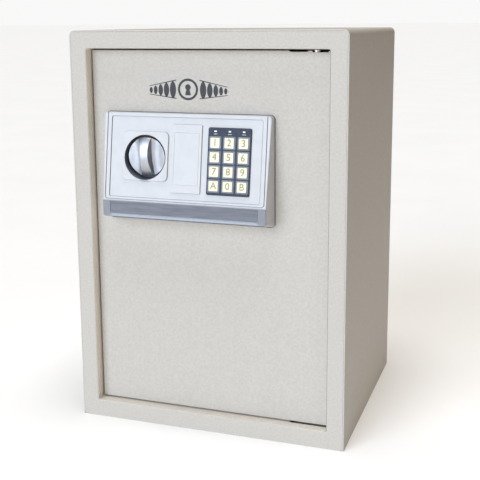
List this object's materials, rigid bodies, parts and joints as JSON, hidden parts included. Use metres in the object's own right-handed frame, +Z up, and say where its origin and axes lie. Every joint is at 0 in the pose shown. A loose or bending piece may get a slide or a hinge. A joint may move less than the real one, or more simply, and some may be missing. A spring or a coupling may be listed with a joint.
{
  "type": "in-room safe",
  "caption": "Steel hotel room safe with a hinged door, a sloping keypad panel, a turning knob that throws locking bolts, and an inside shelf.",
  "frame": {"origin": "middle of the cabinet's underside", "axes": "+X to the right of someone facing the door, the door faces -Y, +Z up"},
  "size_m": [0.35, 0.313, 0.5],
  "materials": {
    "body_paint": "textured powder coat",
    "inside_paint": "satin powder coat",
    "steel": "bright zinc plate",
    "brass": "satin",
    "knob_silver": "satin metallised",
    "panel_white": "fine satin",
    "trim_silver": "metallic paint",
    "keypad_navy": "satin",
    "key_cream": "satin, printed digit",
    "led_white": "clear lens",
    "silicone": "matt",
    "board_green": "lacquered",
    "case_black": "fine grain",
    "cell_wrap": "shrink sleeve",
    "button_red": "moulded",
    "coil_tape": "wound and taped",
    "felt": "needle felt"
  },
  "bodies": {
    "cabinet": {"shell_wrap": "body_paint", "back_plate": "body_paint", "bottom_plate": "body_paint", "front_frame": "body_paint", "bolt_strike": "body_paint", "hinge_bracket_top": "steel", "hinge_bracket_bottom": "steel", "shelf": "inside_paint", "shelf_supports": "steel", "floor_mat": "felt"},
    "door": {"door_plate": "body_paint", "door_pan": "inside_paint", "inner_cover": "inside_paint", "cover_screws": "steel", "hinge_lugs": "steel", "hinge_pin_top": "steel", "hinge_pin_bottom": "steel", "panel_housing": "panel_white", "panel_trim_strip": "trim_silver", "panel_screws": "steel", "knob_bezel": "panel_white", "keypad_bezel": "keypad_navy", "led_lenses": "led_white", "dome_mat": "silicone", "circuit_board": "board_green", "lock_barrel": "steel", "guide_studs": "steel", "solenoid_body": "coil_tape", "battery_case": "case_black", "batteries": "cell_wrap", "battery_contacts": "steel", "wire_loom": "button_red"},
    "knob": {"knob_grip": "knob_silver", "knob_spindle": "steel", "bolt_cam": "steel"},
    "bolts": {"bolt_plate": "steel", "bolt_upper": "steel", "bolt_lower": "steel"},
    "key_cover": {"key_cover": "panel_white"},
    "lock": {"lock_plug": "brass", "lock_tongue": "steel"},
    "plunger": {"solenoid_plunger": "steel"},
    "battery_lid": {"battery_lid": "inside_paint"},
    "reset_button": {"reset_button": "button_red"},
    "key_1": {"key_1": "key_cream"},
    "key_2": {"key_2": "key_cream"},
    "key_3": {"key_3": "key_cream"},
    "key_4": {"key_4": "key_cream"},
    "key_5": {"key_5": "key_cream"},
    "key_6": {"key_6": "key_cream"},
    "key_7": {"key_7": "key_cream"},
    "key_8": {"key_8": "key_cream"},
    "key_9": {"key_9": "key_cream"},
    "key_a": {"key_a": "key_cream"},
    "key_0": {"key_0": "key_cream"},
    "key_b": {"key_b": "key_cream"}
  },
  "joints": [
    {"name": "door_hinge", "type": "hinge", "parent": "cabinet", "child": "door", "pos_m": [0.133, -0.127, 0.25], "axis": [0, 0, 1], "range_deg": [0, 105]},
    {"name": "knob_turn", "type": "hinge", "parent": "door", "child": "knob", "pos_m": [-0.075, -0.14, 0.3475], "axis": [0, -1, 0], "range_deg": [0, 90]},
    {"name": "bolt_slide", "type": "slide", "parent": "door", "child": "bolts", "axis": [-1, 0, 0], "range_m": [0, 0.02]},
    {"name": "cover_pull", "type": "slide", "parent": "door", "child": "key_cover", "axis": [0, -0.9876, 0.1569], "range_m": [0, 0.02]},
    {"name": "key_turn", "type": "hinge", "parent": "door", "child": "lock", "pos_m": [-0.021, -0.135, 0.3475], "axis": [0, 1, 0], "range_deg": [0, 90]},
    {"name": "plunger_slide", "type": "slide", "parent": "door", "child": "plunger", "axis": [0, -1, 0], "range_m": [0, 0.004]},
    {"name": "battery_lid_slide", "type": "slide", "parent": "door", "child": "battery_lid", "axis": [-1, 0, 0], "range_m": [0, 0.03]},
    {"name": "reset_press", "type": "slide", "parent": "door", "child": "reset_button", "axis": [0, -1, 0], "range_m": [0, 0.0015], "stiffness_N_per_m": 300, "springref_m": -0.0005},
    {"name": "key_1_press", "type": "slide", "parent": "door", "child": "key_1", "axis": [0, 0.9876, -0.1569], "range_m": [0, 0.0012], "stiffness_N_per_m": 300, "springref_m": -0.0005},
    {"name": "key_2_press", "type": "slide", "parent": "door", "child": "key_2", "axis": [0, 0.9876, -0.1569], "range_m": [0, 0.0012], "stiffness_N_per_m": 300, "springref_m": -0.0005},
    {"name": "key_3_press", "type": "slide", "parent": "door", "child": "key_3", "axis": [0, 0.9876, -0.1569], "range_m": [0, 0.0012], "stiffness_N_per_m": 300, "springref_m": -0.0005},
    {"name": "key_4_press", "type": "slide", "parent": "door", "child": "key_4", "axis": [0, 0.9876, -0.1569], "range_m": [0, 0.0012], "stiffness_N_per_m": 300, "springref_m": -0.0005},
    {"name": "key_5_press", "type": "slide", "parent": "door", "child": "key_5", "axis": [0, 0.9876, -0.1569], "range_m": [0, 0.0012], "stiffness_N_per_m": 300, "springref_m": -0.0005},
    {"name": "key_6_press", "type": "slide", "parent": "door", "child": "key_6", "axis": [0, 0.9876, -0.1569], "range_m": [0, 0.0012], "stiffness_N_per_m": 300, "springref_m": -0.0005},
    {"name": "key_7_press", "type": "slide", "parent": "door", "child": "key_7", "axis": [0, 0.9876, -0.1569], "range_m": [0, 0.0012], "stiffness_N_per_m": 300, "springref_m": -0.0005},
    {"name": "key_8_press", "type": "slide", "parent": "door", "child": "key_8", "axis": [0, 0.9876, -0.1569], "range_m": [0, 0.0012], "stiffness_N_per_m": 300, "springref_m": -0.0005},
    {"name": "key_9_press", "type": "slide", "parent": "door", "child": "key_9", "axis": [0, 0.9876, -0.1569], "range_m": [0, 0.0012], "stiffness_N_per_m": 300, "springref_m": -0.0005},
    {"name": "key_a_press", "type": "slide", "parent": "door", "child": "key_a", "axis": [0, 0.9876, -0.1569], "range_m": [0, 0.0012], "stiffness_N_per_m": 300, "springref_m": -0.0005},
    {"name": "key_0_press", "type": "slide", "parent": "door", "child": "key_0", "axis": [0, 0.9876, -0.1569], "range_m": [0, 0.0012], "stiffness_N_per_m": 300, "springref_m": -0.0005},
    {"name": "key_b_press", "type": "slide", "parent": "door", "child": "key_b", "axis": [0, 0.9876, -0.1569], "range_m": [0, 0.0012], "stiffness_N_per_m": 300, "springref_m": -0.0005}
  ],
  "couplings": [
    {"joint": "bolt_slide", "follows": "knob_turn", "m_per_rad": 0.012732}
  ]
}
